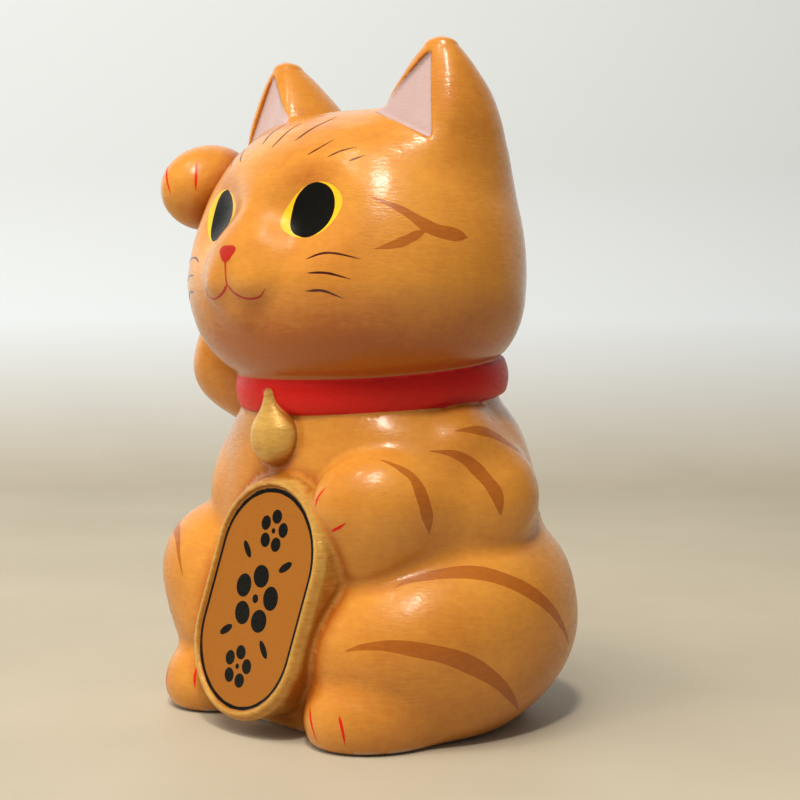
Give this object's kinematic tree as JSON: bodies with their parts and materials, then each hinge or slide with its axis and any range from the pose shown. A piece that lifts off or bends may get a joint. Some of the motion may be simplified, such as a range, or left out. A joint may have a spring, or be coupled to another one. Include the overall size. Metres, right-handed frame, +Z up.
{
  "type": "cat figurine",
  "caption": "Seated lucky cat figurine, hollow slip-cast ceramic, one paw raised and the other on an oval tablet, with collar and bell.",
  "frame": {"origin": "on the resting face of the base, on the cat's centre plane, under its body", "axes": "+Z up, the cat faces -Y, +X towards the cat's left side"},
  "size_m": [0.1444, 0.1208, 0.2121],
  "materials": {
    "orange_glaze": "gloss",
    "red_enamel": "satin",
    "gold_enamel": "satin",
    "black_enamel": "gloss",
    "brown_stain": "gloss",
    "yellow_enamel": "gloss",
    "pink_enamel": "satin"
  },
  "bodies": {
    "root": {"torso_shell": "orange_glaze", "head_shell": "orange_glaze", "raised_arm": "orange_glaze", "lowered_arm": "orange_glaze", "left_foot": "orange_glaze", "right_foot": "orange_glaze", "tail": "orange_glaze", "collar_band": "red_enamel", "bell": "gold_enamel", "koban_tablet": "gold_enamel"}
  },
  "joints": []
}
